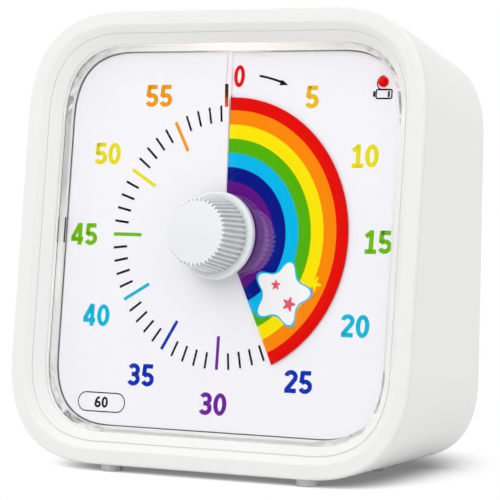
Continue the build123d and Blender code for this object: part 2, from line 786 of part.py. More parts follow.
def make_battery_cells():
    """Two cells side by side across the bay, pointing opposite ways."""
    can = rod(cell_radius, 0, cell_length)
    can = fillet(can.edges().filter_by(GeomType.CIRCLE), cell_edge_round)
    can = can + rod(cell_nipple_radius, cell_length - 0.1, cell_length + cell_nipple_length)
    start = -bay_half_width + plate_thickness + spring_room
    upper = Pos(start, bay_centre + cell_pitch / 2, cell_depth) * Rot(0, 90, 0) * can
    lower = Pos(-start, bay_centre - cell_pitch / 2, cell_depth) * Rot(0, -90, 0) * can
    return rear_plane * Compound([upper, lower])


def contact_plate(x, y, across):
    half = cell_radius - plate_margin
    low, high = min(x, x + across), max(x, x + across)
    return block(low, high, y - half, y + half, cell_depth - half, cell_depth + half)


def make_battery_plates():
    left = contact_plate(-bay_half_width, bay_centre - cell_pitch / 2, plate_thickness)
    right = contact_plate(bay_half_width, bay_centre + cell_pitch / 2, -plate_thickness)
    return rear_plane * Compound([left, right])


def make_coil():
    """Conical coil of eight-sided wire that rises along +Z."""
    height = spring_room - 2 * spring_wire - 0.1
    path = Helix(height / spring_turns, height, spring_radius, cone_angle=spring_cone_angle)
    section = Plane(path @ 0, z_dir=path % 0) * RegularPolygon(spring_wire, 8)
    return sweep(section, path=path, is_frenet=True)


def make_battery_springs():
    """Conical coil springs on their own plates, one at each cell's flat end."""
    coil = make_coil()
    parts = []
    for side in (-1, 1):
        y = bay_centre - side * cell_pitch / 2
        x = side * bay_half_width
        plate = contact_plate(x, y, -side * plate_thickness)
        seat = Pos(x - side * (plate_thickness + spring_wire + spring_seat_gap), y, cell_depth)
        parts.append(plate)
        parts.append(seat * Rot(0, -90 * side, 0) * coil)
    return rear_plane * Compound(parts)


# ---------------------------------------------------------------- electronics
def make_circuit_board():
    board = Pos(0, board_centre, board_depth + board_thickness / 2)
    return rear_plane * board * Box(board_width, board_height, board_thickness)


def board_posts():
    """Where the rear housing carries the board, one post at each corner."""
    posts = []
    for sx in (-1, 1):
        for sy in (-1, 1):
            x = sx * (board_width / 2 - board_post_inset)
            y = board_centre + sy * (board_height / 2 - board_post_inset)
            posts.append(rear_plane * rod(board_post_radius, wall / 2, board_depth, x, y))
    return posts


def make_switch_body(side):
    """Switch housing on the board, open to the rear for its finger piece."""
    height = board_depth - switch_depth
    travel = slider_width + 2 * slider_pitch + 2 * slider_fit
    body = Pos(0, 0, switch_depth + height / 2) * Box(switch_length, switch_height, height)
    pocket_depth = slider_engagement + 0.1
    pocket = Pos(0, 0, switch_depth) * Box(travel, slider_height + 2 * slider_fit, 2 * pocket_depth)
    return rear_plane * Pos(side * switch_offset, board_centre, 0) * (body - pocket)


def make_slider(side, position):
    """The finger piece of a slide switch, at one of its positions: -1, 0 or 1."""
    length = slider_proud + switch_depth + slider_engagement
    stem = Pos(0, 0, -slider_proud + length / 2) * Box(slider_width, slider_height, length)
    for i in (-1, 0, 1):
        groove = Rot(90, 0, 0) * Cylinder(slider_groove_radius, slider_height + 1)
        stem = stem - Pos(i * slider_groove_pitch, 0, -slider_proud) * groove
    place = Pos(side * switch_offset + position * slider_pitch, board_centre, 0)
    return rear_plane * place * stem


def make_buzzer():
    mouth = board_depth - buzzer_height
    buzzer = rod(buzzer_radius, mouth, board_depth)
    buzzer = fillet(circles_at(buzzer, low=True), buzzer_edge_round)
    buzzer = buzzer - rod(buzzer_hole_radius, mouth - 1, mouth + 2.4)
    return rear_plane * Pos(0, board_centre, 0) * buzzer


def make_controller_chip():
    low = board_depth + board_thickness
    half = chip_half_width
    body = block(-half, half, board_centre - half, board_centre + half, low, low + chip_height)
    return rear_plane * chamfer(body.edges().group_by(Axis.Z)[-1], chip_edge)


def make_light_lens():
    half_x, half_z = light_width / 2, light_height / 2
    return block(-half_x, half_x, window_high + light_fit, window_high + window_wall, -half_z, half_z)


def make_night_light_led():
    """A short strip with its light-emitting chips, behind the lens."""
    low = window_high + window_wall + light_fit
    base = low + light_chip_depth
    half_x, half_z = light_width / 2, light_strip_half_width
    strip = block(-half_x, half_x, base, base + light_strip_thickness, -half_z, half_z)
    for i in (-1, 0, 1):
        x = i * light_chip_pitch
        left, right = x - light_chip_half_length, x + light_chip_half_length
        strip = strip + block(left, right, low, base, -light_chip_half_width, light_chip_half_width)
    return strip


def make_low_battery_led():
    dome_base = led_front - led_radius
    body = rod(led_radius, carrier_back - led_body, dome_base, led_x, led_y)
    dome = Pos(led_x, led_y, dome_base) * Sphere(led_radius)
    flange = rod(led_body, carrier_back - led_body, carrier_back - 0.05, led_x, led_y)
    return body + dome + flange


# ---------------------------------------------------------------- assembly
nodes_on_face = {
    "front_bezel": make_front_bezel(),
    "rear_housing": make_rear_housing(),
    "clear_cover": make_clear_cover(),
    "dial_card": make_dial_card(),
    "dial_carrier": make_dial_carrier(),
    "rainbow_disc": make_rainbow_disc(),
    "knob": make_knob(),
    "shaft": make_shaft(),
    "disc_hub": make_disc_hub(),
    "output_wheel": make_output_wheel(),
    "clutch_spring": make_clutch_spring(),
    "intermediate_gear": make_intermediate_gear(),
    "intermediate_arbor": make_intermediate_arbor(),
    "gear_motor": make_gear_motor(),
    "motor_pinion": make_motor_pinion(),
    "movement_case_front": make_movement_case_front(),
    "movement_case_rear": make_movement_case_rear(),
    "housing_screws": make_housing_screws(),
    "carrier_screws": make_carrier_screws(),
    "movement_screws": make_movement_screws(),
    "battery_door": make_battery_door(),
    "battery_cells": make_battery_cells(),
    "battery_plates": make_battery_plates(),
    "battery_springs": make_battery_springs(),
    "circuit_board": make_circuit_board(),
    "controller_chip": make_controller_chip(),
    "buzzer": make_buzzer(),
    "sound_switch": make_switch_body(-1),
    "sound_slider": make_slider(-1, 0),
    "light_switch": make_switch_body(1),
    "light_slider": make_slider(1, 0),
    "light_lens": make_light_lens(),
    "night_light_led": make_night_light_led(),
    "low_battery_led": make_low_battery_led(),
}
nodes_on_table = {
    "front_feet": make_feet(front_foot_y),
    "rear_feet": make_feet(rear_foot_y),
}

# The dial's centre stands this far above the table.
dial_height = foot_height - underside
stand = Pos(0, 0, dial_height) * Rot(90 - face_lean, 0, 0)
placed = {name: stand * shape for name, shape in nodes_on_face.items()}
placed.update(nodes_on_table)

# The row's origin is on the table, under the middle of the whole timer.
front = min(placed[name].bounding_box().min.Y for name in ("knob", "front_bezel"))
rear = max(placed[name].bounding_box().max.Y for name in ("rear_housing", "battery_door"))
middle = Pos(0, -(front + rear) / 2, 0)

os.makedirs("parts", exist_ok=True)
for name, shape in placed.items():
    export_step(middle * shape, f"parts/{name}.step")
dial = (middle * stand).position
hinge_place = Pos(0, bay_centre - door_half_height + door_hinge_round, door_hinge_round)
hinge = (middle * stand * rear_plane.location * hinge_place).position
print("dial centre", dial)
print("battery door's axis", hinge)
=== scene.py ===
import json
import bpy
from math import atan2, cos, degrees, hypot, pi, radians, sin
from mathutils import Matrix, Vector


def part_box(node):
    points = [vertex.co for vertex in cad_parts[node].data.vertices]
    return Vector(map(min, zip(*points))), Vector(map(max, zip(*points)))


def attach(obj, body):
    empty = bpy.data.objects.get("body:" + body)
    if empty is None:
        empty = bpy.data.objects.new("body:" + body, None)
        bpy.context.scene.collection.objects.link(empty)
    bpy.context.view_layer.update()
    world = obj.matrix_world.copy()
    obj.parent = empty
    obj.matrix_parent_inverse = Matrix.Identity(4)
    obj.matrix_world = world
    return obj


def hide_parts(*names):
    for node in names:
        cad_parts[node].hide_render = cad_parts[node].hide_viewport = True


# Looks for the visual countdown timer. Metres in the row frame; the dial and what is
# printed on it are laid out in the face frame, in millimetres: origin where the dial's
# middle plane meets the knob's axis, x right, y up along the dial, z towards the user.

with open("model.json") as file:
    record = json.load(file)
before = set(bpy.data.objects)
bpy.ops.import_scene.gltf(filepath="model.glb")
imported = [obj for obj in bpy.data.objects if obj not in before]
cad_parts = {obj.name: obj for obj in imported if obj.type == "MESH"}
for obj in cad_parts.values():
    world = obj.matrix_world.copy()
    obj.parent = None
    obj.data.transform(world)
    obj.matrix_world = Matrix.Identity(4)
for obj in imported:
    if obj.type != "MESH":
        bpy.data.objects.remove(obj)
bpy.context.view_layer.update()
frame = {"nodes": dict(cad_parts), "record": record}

MM = 0.001
FACE_LEAN = radians(7.33)
TIMER_JOINT = next(j for j in frame["record"]["behaviour"]["joints"] if j["name"] == "timer_turn")
DIAL_CENTRE = Vector(TIMER_JOINT["pos_m"])
FACE = Matrix.Translation(DIAL_CENTRE) @ Matrix.Rotation(radians(90) - FACE_LEAN, 4, "X")

# The card and the disc are slit sheets, each one turn of the same spiral.
SPIRAL_PITCH = 0.6              # the left lip at the slit stands this far in front of the right
SHEET_STEPS = 240               # fine enough for the faces to follow the spiral to a micrometre
SLIT_ANGLE = -1.6               # the card's slit, in degrees clockwise of 12 o'clock
CARD_THICKNESS = 0.2
DISC_SETTING = 153.0            # the disc's slit: so many degrees of it are in front of the card
DISC_THICKNESS = 0.12
DISC_RADIUS = 25.9
DISC_INNER_RADIUS = 5.05
# The disc's middle lies this far in front of the card's. Turned to 0, its face is then just
# behind the card's face, and at 59 minutes it is just in front of it.
DISC_LEAD = 0.0377

# Films thin enough for the disc to pass over the card's print, and the card over the disc's.
INK_LIFT = 0.0005               # underside of a print above its sheet
INK_THICKNESS = 0.001
MOTIF_LAYER = 0.0013            # step from one print of the disc's motif to the next


# ---------------------------------------------------------------- materials
ACRYLIC_IOR = 1.49
HARD_COAT_GAIN = 2.3            # the cover's coat mirrors this much more than bare acrylic
DRIFT_SCALE = 35.0              # scales of the noise, per metre: the drift of tone in plastic,
FROST_SCALE = 4000.0            # the blasted face of frosted acrylic
WAVES_SCALE = 60.0              # and the faint waves in the cover's sheet
METAL_LINE_STRETCH = 12.0       # turning lines are this much longer than wide


def linear(code):
    """sRGB hex to linear red, green, blue and 1."""
    channels = [int(code[i : i + 2], 16) / 255 for i in (1, 3, 5)]
    return [c / 12.92 if c <= 0.04045 else ((c + 0.055) / 1.055) ** 2.4 for c in channels] + [1.0]


def add_node(tree, kind, links=None, **settings):
    """Adds a node, sets its properties, and links or sets its inputs."""
    node = tree.nodes.new(kind)
    for name, value in settings.items():
        setattr(node, name, value)
    for socket, value in (links or {}).items():
        if isinstance(value, bpy.types.NodeSocket):
            tree.links.new(value, node.inputs[socket])
        else:
            node.inputs[socket].default_value = value
    return node


def start_material(name):
    material = bpy.data.materials.new(name)
    material.use_nodes = True
    material.node_tree.nodes.clear()
    return material, material.node_tree


def end_material(material, tree, shader):
    add_node(tree, "ShaderNodeOutputMaterial", {"Surface": shader.outputs[0]})
    return material


def main_shader(tree):
    return next(node for node in tree.nodes if node.type == "BSDF_PRINCIPLED")


def looked_at(tree, path):
    """1 for what is seen directly or through glass, and 0 for what only lights or is mirrored."""
    sockets = {0: path.outputs["Is Camera Ray"], 1: path.outputs["Is Transmission Ray"]}
    return add_node(tree, "ShaderNodeMath", sockets, operation="MAXIMUM").outputs[0]


def moulded(name, code, roughness, grain_mm, grain_depth_mm, shade=0.02, **sockets):
    """Moulded or printed plastic: an even colour, a fine grain from the mould's face, and a drift
    of tone and gloss over some 30 mm that keeps large walls from looking painted."""
    material, tree = start_material(name)
    place = add_node(tree, "ShaderNodeTexCoord")
    drift = add_node(
        tree, "ShaderNodeTexNoise", {"Vector": place.outputs["Object"], "Scale": DRIFT_SCALE, "Detail": 2.0}
    )
    colour = linear(code)
    darker = [c * (1 - shade) for c in colour[:3]] + [1.0]
    tone = add_node(
        tree, "ShaderNodeMix", {0: drift.outputs["Fac"], 6: darker, 7: colour}, data_type="RGBA"
    )
    gloss = add_node(
        tree,
        "ShaderNodeMapRange",
        {"Value": drift.outputs["Fac"], "To Min": roughness * 0.92, "To Max": roughness * 1.08},
    )
    grain = add_node(
        tree,
        "ShaderNodeTexNoise",
        {"Vector": place.outputs["Object"], "Scale": 1 / (grain_mm * MM), "Detail": 3.0},
    )
    bump = add_node(
        tree,
        "ShaderNodeBump",
        {"Height": grain.outputs["Fac"], "Distance": grain_depth_mm * MM, "Strength": 1.0},
    )
    links = {
        "Base Color": tone.outputs[2],
        "Roughness": gloss.outputs["Result"],
        "Normal": bump.outputs["Normal"],
    }
    links.update(sockets)
    shader = add_node(tree, "ShaderNodeBsdfPrincipled", links)
    return end_material(material, tree, shader)


def metal(name, code, roughness, line_mm):
    """Turned or rolled metal: fine parallel lines vary the gloss."""
    material, tree = start_material(name)
    place = add_node(tree, "ShaderNodeTexCoord")
    stretch = add_node(
        tree,
        "ShaderNodeMapping",
        {"Vector": place.outputs["Object"], "Scale": (1.0, 1.0, METAL_LINE_STRETCH)},
    )
    scale = 1 / (line_mm * METAL_LINE_STRETCH * MM)
    lines = add_node(
        tree,
        "ShaderNodeTexNoise",
        {"Vector": stretch.outputs["Vector"], "Scale": scale, "Detail": 4.0},
    )
    gloss = add_node(
        tree,
        "ShaderNodeMapRange",
        {"Value": lines.outputs["Fac"], "To Min": roughness * 0.7, "To Max": roughness * 1.4},
    )
    shader = add_node(
        tree,
        "ShaderNodeBsdfPrincipled",
        {"Base Color": linear(code), "Metallic": 1.0, "Roughness": gloss.outputs["Result"]},
    )
    return end_material(material, tree, shader)


def clear_acrylic(name, roughness):
    """Frosted acrylic, blasted to a grit of 0.25 mm, that spreads the light it passes."""
    material, tree = start_material(name)
    place = add_node(tree, "ShaderNodeTexCoord")
    frost = add_node(
        tree,
        "ShaderNodeTexNoise",
        {"Vector": place.outputs["Object"], "Scale": FROST_SCALE, "Detail": 1.0},
    )
    bump = add_node(
        tree, "ShaderNodeBump", {"Height": frost.outputs["Fac"], "Distance": 0.004 * MM, "Strength": 1.0}
    )
    settings = {
        "Base Color": linear("#FDFEFE"),
        "Roughness": roughness,
        "IOR": ACRYLIC_IOR,
        "Transmission Weight": 1.0,
        "Normal": bump.outputs["Normal"],
    }
    shader = add_node(tree, "ShaderNodeBsdfPrincipled", settings)
    return end_material(material, tree, shader)


def flat_window_acrylic(name):
    """Polished acrylic sheet with a hard coat: a plain see-through pane with a mirror gloss on
    its faces, flat but for faint waves some 17 mm long."""
    material, tree = start_material(name)
    place = add_node(tree, "ShaderNodeTexCoord")
    waves = add_node(
        tree,
        "ShaderNodeTexNoise",
        {"Vector": place.outputs["Object"], "Scale": WAVES_SCALE, "Detail": 1.0},
    )
    bump = add_node(
        tree, "ShaderNodeBump", {"Height": waves.outputs["Fac"], "Distance": 0.0002 * MM, "Strength": 1.0}
    )
    normal = bump.outputs["Normal"]
    # From inside the sheet a ray leaves as it came in, so both faces mirror alike.
    side = add_node(tree, "ShaderNodeNewGeometry")
    index = add_node(
        tree,
        "ShaderNodeMapRange",
        {"Value": side.outputs["Backfacing"], "To Min": ACRYLIC_IOR, "To Max": 1 / ACRYLIC_IOR},
    )
    fresnel = add_node(tree, "ShaderNodeFresnel", {"IOR": index.outputs["Result"], "Normal": normal})
    mirrored = add_node(
        tree, "ShaderNodeMath", {0: fresnel.outputs["Fac"], 1: HARD_COAT_GAIN}, operation="MULTIPLY"
    )
    mirrored.use_clamp = True
    # Where the sheet is seen along its face, what it mirrors takes the place of the dial.
    passed = add_node(
        tree,
        "ShaderNodeMapRange",
        {"Value": fresnel.outputs["Fac"], "From Min": 0.08, "From Max": 0.6, "To Min": 1.0, "To Max": 0.0},
    )
    gloss = add_node(
        tree,
        "ShaderNodeBsdfGlossy",
        {"Color": mirrored.outputs[0], "Roughness": 0.004, "Normal": normal},
    )
    pane = add_node(tree, "ShaderNodeBsdfTransparent", {"Color": linear("#FEFEFE")})
    seen_pane = add_node(tree, "ShaderNodeBsdfTransparent", {"Color": passed.outputs["Result"]})
    glossed = add_node(tree, "ShaderNodeAddShader", {0: seen_pane.outputs[0], 1: gloss.outputs[0]})
    path = add_node(tree, "ShaderNodeLightPath")
    # Light on its way to the dial passes as if the cover weren't there.
    not_seen = add_node(
        tree,
        "ShaderNodeMath",
        {0: path.outputs["Is Shadow Ray"], 1: path.outputs["Is Diffuse Ray"]},
        operation="MAXIMUM",
    )
    shader = add_node(
        tree,
        "ShaderNodeMixShader",
        {0: not_seen.outputs[0], 1: glossed.outputs[0], 2: pane.outputs[0]},
    )
    return end_material(material, tree, shader)


def blend_along_z(material, low_mm, high_mm, low_code, high_code):
    """Base colour that runs from one ink to another between two heights."""
    tree = material.node_tree
    place = add_node(tree, "ShaderNodeTexCoord")
    height = add_node(tree, "ShaderNodeSeparateXYZ", {0: place.outputs["Object"]})
    share = add_node(
        tree, "ShaderNodeMapRange", {"Value": height.outputs["Z"], 1: low_mm * MM, 2: high_mm * MM}
    )
    mix = add_node(
        tree,
        "ShaderNodeMix",
        {0: share.outputs["Result"], 6: linear(low_code), 7: linear(high_code)},
        data_type="RGBA",
    )
    tree.links.new(mix.outputs[2], main_shader(tree).inputs["Base Color"])


def paint_groove_shade(material, reach_mm):
    """Painted shade in the grooves: ambient occlusion darkens the base colour down to 0.68 of the plain
    tone, which draws the knob's ribs.
    """
    tree = material.node_tree
    base = main_shader(tree).inputs["Base Color"]
    openness = add_node(tree, "ShaderNodeAmbientOcclusion", {"Distance": reach_mm * MM}, samples=8)
    level = add_node(
        tree,
        "ShaderNodeMapRange",
        {"Value": openness.outputs["AO"], "From Min": 0.35, "From Max": 0.9, "To Min": 0.68},
    )
    mix = add_node(
        tree,
        "ShaderNodeMix",
        {0: 1.0, 6: base.links[0].from_socket, 7: level.outputs["Result"]},
        data_type="RGBA",
        blend_type="MULTIPLY",
    )
    tree.links.new(mix.outputs[2], base)


def glow_round_point(material, centre, reach_mm, code, strength):
    """An emission that fades out round a point. On the lens it is the night light's own glow; on the white
    bezel it is painted light, standing in for the little light the plastic passes round the lamp behind it.
    """
    tree = material.node_tree
    place = add_node(tree, "ShaderNodeTexCoord")
    offset = add_node(
        tree, "ShaderNodeVectorMath", {0: place.outputs["Object"], 1: centre}, operation="SUBTRACT"
    )
    shares = tuple(1 / (reach * MM) for reach in reach_mm)
    scaled = add_node(
        tree, "ShaderNodeVectorMath", {0: offset.outputs["Vector"], 1: shares}, operation="MULTIPLY"
    )
    distance = add_node(tree, "ShaderNodeVectorMath", {0: scaled.outputs["Vector"]}, operation="LENGTH")
    glow = add_node(
        tree,
        "ShaderNodeMapRange",
        {"Value": distance.outputs["Value"], "To Min": strength, "To Max": 0.0},
        interpolation_type="SMOOTHSTEP",
    )
    shader = main_shader(tree)
    tree.links.new(glow.outputs["Result"], shader.inputs["Emission Strength"])
    shader.inputs["Emission Color"].default_value = linear(code)


# Gloss-moulded ABS: the outer shells, a satin white with a fine spark-eroded grain.
CASE_ABS = moulded("gloss_moulded_abs", "#F4F4F3", 0.34, 0.25, 0.004)
# The same plastic round the night light, with painted light: an emission that fades out from the lens makes
# the wall glow.
BEZEL_ABS_PAINTED_GLOW = moulded("gloss_moulded_bezel_abs_painted_glow", "#F4F4F3", 0.34, 0.25, 0.004)
# Satin-moulded ABS: the knob, a shade cooler and finer in grain.
KNOB_ABS = moulded("satin_moulded_abs", "#EEF2F5", 0.38, 0.2, 0.003)
# Printed polystyrene sheet: a cool white ground under the inks.
CARD_SHEET = moulded("printed_polystyrene_sheet", "#F9F8FD", 0.42, 0.15, 0.0004, 0.006)
# Unpolished ABS inside: greyer and duller than the shells.
INNER_ABS = moulded("inner_abs", "#DCDCDA", 0.5, 0.3, 0.006)
# Acetal gears: cream, with the waxy gloss of a slippery plastic.
ACETAL = moulded("moulded_acetal", "#EFE9D6", 0.4, 0.3, 0.003)
# Black ABS: movement case, chip, buzzer and switch sliders; also painted shade in the cover clip's lines.
BLACK_ABS = moulded("black_abs", "#17181A", 0.45, 0.3, 0.005)
# Soft rubber feet: matt, with a powdery face.
FOOT_RUBBER = moulded("soft_grey_rubber", "#F0F0EE", 0.7, 0.12, 0.01)
# Painted shade: the shells' plastic darkened to stand in for the shadow at the foot of a gap, where no
# light gets in.
GAP_SHADE_PAINT = moulded("painted_gap_shade", "#3C3C3B", 0.6, 0.3, 0.001)
# Glass-epoxy laminate under green solder mask, glossy like varnish.
BOARD_LAMINATE = moulded("solder_masked_laminate", "#1D5B34", 0.3, 0.4, 0.004)
# Shrunk-on printed sleeve of the cells: plain slate blue.
CELL_SLEEVE = moulded("printed_cell_sleeve", "#4A5560", 0.3, 0.5, 0.001)
# Phosphor on the night light's chips: a warm pale yellow.
PHOSPHOR = moulded("led_phosphor", "#F7F0DA", 0.5, 0.2, 0.002)
# Zinc plate is a cool grey, nickel plate a little warmer and shinier.
PLATED_STEEL = metal("zinc_plated_steel", "#C2C3C5", 0.32, 0.1)
NICKEL_STEEL = metal("nickel_plated_spring_steel", "#CFCDC8", 0.25, 0.08)
# Clear acrylic: the cover is a glossy pane, and the light's lens is frosted and glows.
COVER_ACRYLIC = flat_window_acrylic("polished_acrylic")
LENS_ACRYLIC = clear_acrylic("light_lens_acrylic", 0.15)
# Tinted epoxy with a lit chip inside: deep red, brighter than its surroundings.
RED_EPOXY = moulded(
    "tinted_epoxy",
    "#D80000",
    0.08,
    0.5,
    0.0005,
    **{"Emission Color": linear("#FF0800"), "Emission Strength": 0.14, "Specular IOR Level": 0.08},
)

INK_CODES = {
    "red": "#E80400",
    "orange": "#FF8A00",
    "amber": "#F49C00",
    "gold": "#F2BC00",
    "yellow": "#FFE900",
    "lemon": "#EDE000",
    "green": "#52B400",
    "leaf": "#70BE00",
    "cyan": "#00BAF0",
    "turquoise": "#00B9DC",
    "navy": "#00148A",
    "blue": "#0030B8",
    "purple": "#651089",
    "violet": "#70209F",
    "black": "#101012",
    "white": "#FBFBFB",
    "pink": "#F0506E",
    "brown": "#7A2A10",
    "beige": "#DCCDB6",
}
# Screen-printed ink: a thin even film with a low sheen.
INKS = {
    name: moulded(f"screen_ink_{name}", code, 0.36, 0.12, 0.0008, 0.03, **{"Specular IOR Level": 0.12})
    for name, code in INK_CODES.items()
}

NODE_MATERIALS = {
    "front_bezel": BEZEL_ABS_PAINTED_GLOW,
    "rear_housing": CASE_ABS,
    "battery_door": CASE_ABS,
    "knob": KNOB_ABS,
    "clear_cover": COVER_ACRYLIC,
    "light_lens": LENS_ACRYLIC,
    "dial_card": CARD_SHEET,
    "dial_carrier": INNER_ABS,
    "disc_hub": ACETAL,
    "output_wheel": ACETAL,
    "intermediate_gear": ACETAL,
    "motor_pinion": ACETAL,
    "movement_case_front": BLACK_ABS,
    "movement_case_rear": BLACK_ABS,
    "controller_chip": BLACK_ABS,
    "buzzer": BLACK_ABS,
    "sound_slider": BLACK_ABS,
    "light_slider": BLACK_ABS,
    "front_feet": FOOT_RUBBER,
    "rear_feet": FOOT_RUBBER,
    "circuit_board": BOARD_LAMINATE,
    "battery_cells": CELL_SLEEVE,
    "night_light_led": PHOSPHOR,
    "low_battery_led": RED_EPOXY,
    "shaft": PLATED_STEEL,
    "intermediate_arbor": PLATED_STEEL,
    "gear_motor": PLATED_STEEL,
    "housing_screws": PLATED_STEEL,
    "carrier_screws": PLATED_STEEL,
    "movement_screws": PLATED_STEEL,
    "sound_switch": PLATED_STEEL,
    "light_switch": PLATED_STEEL,
    "clutch_spring": NICKEL_STEEL,
    "battery_plates": NICKEL_STEEL,
    "battery_springs": NICKEL_STEEL,
}
# Reaches in mm: of the painted shade in a groove, and of the glow across, in depth and up; the glow is
# painted light on the bezel and the night light's own on the lens.
KNOB_GROOVE_REACH = 1.5
WALL_PAINTED_GLOW_REACH = (45.0, 3.2, 3.0)
LENS_GLOW_REACH = (12.0, 6.0, 4.0)


def middle_of(box):
    low, high = (Vector(corner) for corner in box)
    return (low + high) / 2


lens_middle = middle_of(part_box("light_lens"))
# Painted shade: the knob's base colour is darkened in its grooves by ambient occlusion.
paint_groove_shade(KNOB_ABS, KNOB_GROOVE_REACH)
# Painted light: an emission on the bezel's plastic, fading out from the lens, stands in for the light the
# wall passes and brightens its top wall.
glow_round_point(BEZEL_ABS_PAINTED_GLOW, lens_middle, WALL_PAINTED_GLOW_REACH, "#FFF2E8", 0.36)
glow_round_point(LENS_ACRYLIC, lens_middle, LENS_GLOW_REACH, "#FFF0E0", 0.22)
for node_name, material in NODE_MATERIALS.items():
    for material_slot in frame["nodes"][node_name].material_slots:
        material_slot.material = material


# ---------------------------------------------------------------- pieces on the face
SHARP_ANGLE = radians(35)       # faces that meet at more than this keep a sharp edge


def clockwise(x, y):
    """Degrees clockwise from 12 o'clock, from 0 up to 360."""
    return degrees(atan2(x, y)) % 360


def on_dial(radius, angle):
    """The point at a radius and an angle clockwise of 12 o'clock, in degrees."""
    return radius * sin(radians(angle)), radius * cos(radians(angle))


def spiral_height(turn):
    """Height of a slit sheet's middle, so many degrees round from its slit."""
    return SPIRAL_PITCH * (turn / 360 - 0.5)


def card_front(x, y):
    return spiral_height((clockwise(x, y) - SLIT_ANGLE) % 360) + CARD_THICKNESS / 2


def disc_front(x, y):
    return spiral_height((clockwise(x, y) - DISC_SETTING) % 360) + DISC_LEAD + DISC_THICKNESS / 2


def add_piece(name, vertices, faces, materials, body):
    """A mesh given in the face frame in millimetres, riding on one body."""
    mesh = bpy.data.meshes.new(name)
    mesh.from_pydata([FACE @ (Vector(v) * MM) for v in vertices], [], faces)
    for material in materials:
        mesh.materials.append(material)
    mesh.polygons.foreach_set("use_smooth", [True] * len(mesh.polygons))
    mesh.set_sharp_from_angle(angle=SHARP_ANGLE)
    piece = bpy.data.objects.new(name, mesh)
    bpy.context.scene.collection.objects.link(piece)
    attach(piece, body)
    return piece


def add_print(name, outlines, ink):
    """Ink films from closed outlines, lying on the card."""
    vertices, faces = [], []
    for outline in outlines:
        first, count = len(vertices), len(outline)
        for height in (INK_LIFT, INK_LIFT + INK_THICKNESS):
            vertices += [(x, y, card_front(x, y) + height) for x, y in outline]
        faces.append(tuple(first + i for i in reversed(range(count))))
        faces.append(tuple(first + count + i for i in range(count)))
        for i in range(count):
            j = (i + 1) % count
            faces.append((first + i, first + j, first + count + j, first + count + i))
    add_piece(name, vertices, faces, [INKS[ink]], "casing")


def ribbon(points, width):
    """Closed outline of a stroke of even width along a line of points."""
    left, right = [], []
    for i, (x, y) in enumerate(points):
        (x1, y1), (x2, y2) = points[max(i - 1, 0)], points[min(i + 1, len(points) - 1)]
        length = hypot(x2 - x1, y2 - y1)
        nx, ny = -(y2 - y1) / length * width / 2, (x2 - x1) / length * width / 2
        left.append((x + nx, y + ny))
        right.append((x - nx, y - ny))
    return right + left[::-1]


def rectangle(x_low, x_high, y_low, y_high):
    return [(x_low, y_low), (x_high, y_low), (x_high, y_high), (x_low, y_high)]


def arc(x, y, radius_x, radius_y, start, end, steps=16):
    """Points on an ellipse between two angles, in degrees anticlockwise from +x."""
    angles = [radians(start + (end - start) * i / steps) for i in range(steps + 1)]
    return [(x + radius_x * cos(a), y + radius_y * sin(a)) for a in angles]


def quads_between(outer, inner):
    """The quads of a closed ring between two loops with as many points each."""
    count = len(outer)
    return [[outer[i], outer[(i + 1) % count], inner[(i + 1) % count], inner[i]] for i in range(count)]


def rounded_loop(x_low, x_high, y_low, y_high, corner):
    """Closed outline of a rectangle with round corners."""
    loop = []
    turns = ((x_high, y_low, -90), (x_high, y_high, 0), (x_low, y_high, 90), (x_low, y_low, 180))
    for x, y, start in turns:
        cx = x - corner if x == x_high else x + corner
        cy = y - corner if y == y_high else y + corner
        loop += arc(cx, cy, corner, corner, start, start + 90, 8)
    return loop


def rounded_ring(x_low, x_high, y_low, y_high, corner, width):
    """A line of even width inside a rectangle with round corners."""
    outer = rounded_loop(x_low, x_high, y_low, y_high, corner)
    inner = rounded_loop(x_low + width, x_high - width, y_low + width, y_high - width, corner - width)
    return quads_between(outer, inner)


# ---------------------------------------------------------------- dial card
FACE_HALF = 42.5                # half the seam's outline, from which insets are counted
FACE_CORNER = 19.9              # how far each corner's curve reaches along a side
CORNER_FULLNESS = 0.674         # a quarter circle has 0.552, a fuller corner more
FACE_MIDDLE_Y = -0.76           # the seam's middle is a little below the knob's axis
LENS_ROOM = 6.8                 # half the stretch of the top that the light's lens takes up
CARD_INSET = 7.4
CARD_HOLE_RADIUS = 5.7
CARD_RINGS = [DISC_RADIUS, 15.0, CARD_HOLE_RADIUS]  # radii where the card's faces are cut


def window_path(inset, steps=10):
    """The window's soft-cornered outline, clockwise from right of the lens to left of it."""
    half, corner = FACE_HALF - inset, FACE_CORNER - inset
    flat, control = half - corner, half - corner * (1 - CORNER_FULLNESS)
    quarter = []
    for i in range(steps + 1):
        t = i / steps
        weights = ((1 - t) ** 3, 3 * t * (1 - t) ** 2, 3 * t * t * (1 - t), t**3)
        x = sum(w * v for w, v in zip(weights, (flat, control, half, half)))
        y = sum(w * v for w, v in zip(weights, (half, half, control, flat)))
        quarter.append((x, y))
    right = quarter + [(x, -y) for x, y in reversed(quarter)]
    loop = [(LENS_ROOM, half)] + right + [(-x, y) for x, y in reversed(right)] + [(-LENS_ROOM, half)]
    return [(x, y + FACE_MIDDLE_Y) for x, y in loop]


def reach_at(path, angle):
    """How far a path round the knob's axis lies from it, at an angle clockwise of 12 o'clock."""
    across, along = (cos(angle), -sin(angle)), (sin(angle), cos(angle))
    for (x1, y1), (x2, y2) in zip(path, path[1:] + path[:1]):
        side1, side2 = x1 * across[0] + y1 * across[1], x2 * across[0] + y2 * across[1]
        if (side1 <= 0) != (side2 <= 0):
            share = side1 / (side1 - side2)
            x, y = x1 + share * (x2 - x1), y1 + share * (y2 - y1)
            ahead = x * along[0] + y * along[1]
            if ahead > 0:
                return ahead
    raise ValueError("the path doesn't go round the axis")


